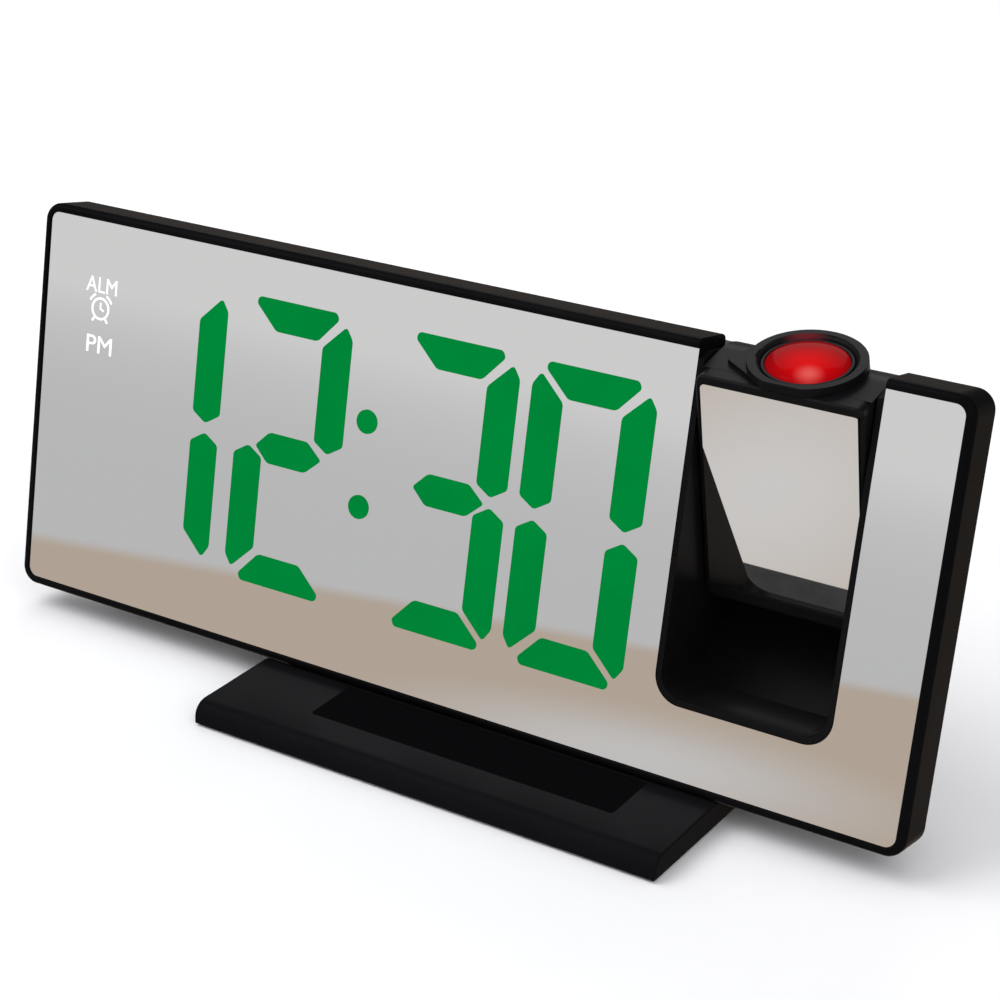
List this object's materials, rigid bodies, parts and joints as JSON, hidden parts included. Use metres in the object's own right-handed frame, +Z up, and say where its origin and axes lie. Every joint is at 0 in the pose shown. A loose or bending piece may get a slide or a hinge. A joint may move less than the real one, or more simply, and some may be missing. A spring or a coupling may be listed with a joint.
{
  "type": "projection alarm clock",
  "caption": "Wide mirror-faced alarm clock on a low base, with lit digits and a swinging projector head with a red focusing lens in a pocket at one end.",
  "frame": {"origin": "on the table under the mirror's bottom edge, at the middle of the mirror's length", "axes": "+X to the right as the face is read, +Y from the face to the back, +Z up"},
  "size_m": [0.1902, 0.0596, 0.0811],
  "materials": {
    "frame_black": "gloss",
    "mirror": "half-silvered mirror",
    "liner_black": "gloss",
    "cover_black": "fine grain",
    "screw_steel": "zinc plated",
    "green_light": "lit green",
    "white_plastic": "matt",
    "chip": "matt",
    "board": "lacquered circuit board",
    "brass": "turned",
    "speaker_metal": "plain",
    "socket_black": "matt",
    "socket_metal": "plain",
    "cell_steel": "plain",
    "iron": "plain",
    "rubber": "matt",
    "head_black": "satin",
    "clear": "polished",
    "red_clear": "polished, deep red",
    "key_black": "satin"
  },
  "bodies": {
    "housing": {"front_frame": "frame_black", "mirror_panel": "mirror", "pocket_liner": "liner_black", "rear_cover": "cover_black", "housing_screws": "screw_steel", "lit_digits": "green_light", "digit_reflector": "white_plastic", "segment_diffusers": "green_light", "segment_leds": "chip", "display_board": "board", "main_board": "board", "board_posts": "brass", "board_parts": "chip", "speaker": "speaker_metal", "power_inlet": "socket_black", "usb_socket": "socket_metal", "coin_cell": "cell_steel", "cell_clip": "cell_steel", "key_switches": "chip", "key_board": "board", "left_pivot_pin": "cover_black", "right_pivot_pin": "cover_black", "left_pivot_boss": "cover_black", "right_pivot_boss": "cover_black", "base_shell": "frame_black", "ballast": "iron", "base_cover": "cover_black", "rest_pad": "rubber"},
    "projector_head": {"head_bezel": "frame_black", "head_mirror": "mirror", "head_shell": "head_black", "projector_core": "socket_black", "picture_film": "clear", "condenser_lens": "clear", "lamp_board": "board"},
    "focus_barrel": {"lens_barrel": "head_black", "red_lens": "red_clear", "objective_lens": "clear"},
    "snooze": {"snooze_bar": "key_black"},
    "battery_lid": {"battery_door": "cover_black"},
    "set_button": {"set_key": "key_black"},
    "alarm_button": {"alarm_key": "key_black"},
    "up_button": {"up_key": "key_black"},
    "down_button": {"down_key": "key_black"},
    "light_button": {"light_key": "key_black"},
    "projector_button": {"projector_key": "key_black"}
  },
  "joints": [
    {"name": "head_swing", "type": "hinge", "parent": "housing", "child": "projector_head", "pos_m": [0.0636, 0.01972, 0.06659], "axis": [1, 0, 0], "range_deg": [-111.7, 68.3]},
    {"name": "focus_turn", "type": "hinge", "parent": "projector_head", "child": "focus_barrel", "pos_m": [0.0644, 0.01769, 0.07638], "axis": [0, -0.2028, 0.9792], "range_deg": [-60, 60]},
    {"name": "snooze_press", "type": "slide", "parent": "housing", "child": "snooze", "axis": [0, -0.1736, -0.9848], "range_m": [0, 0.0006], "stiffness_N_per_m": 600},
    {"name": "lid_hinge", "type": "hinge", "parent": "housing", "child": "battery_lid", "pos_m": [0.0005, 0.02978, 0.02003], "axis": [-1, 0, 0], "range_deg": [0, 60]},
    {"name": "set_press", "type": "slide", "parent": "housing", "child": "set_button", "axis": [0, -0.9848, 0.1736], "range_m": [0, 0.0006], "stiffness_N_per_m": 500},
    {"name": "alarm_press", "type": "slide", "parent": "housing", "child": "alarm_button", "axis": [0, -0.9848, 0.1736], "range_m": [0, 0.0006], "stiffness_N_per_m": 500},
    {"name": "up_press", "type": "slide", "parent": "housing", "child": "up_button", "axis": [0, -0.9848, 0.1736], "range_m": [0, 0.0006], "stiffness_N_per_m": 500},
    {"name": "down_press", "type": "slide", "parent": "housing", "child": "down_button", "axis": [0, -0.9848, 0.1736], "range_m": [0, 0.0006], "stiffness_N_per_m": 500},
    {"name": "light_press", "type": "slide", "parent": "housing", "child": "light_button", "axis": [0, -0.9848, 0.1736], "range_m": [0, 0.0006], "stiffness_N_per_m": 500},
    {"name": "projector_press", "type": "slide", "parent": "housing", "child": "projector_button", "axis": [0, -0.9848, 0.1736], "range_m": [0, 0.0006], "stiffness_N_per_m": 500}
  ]
}
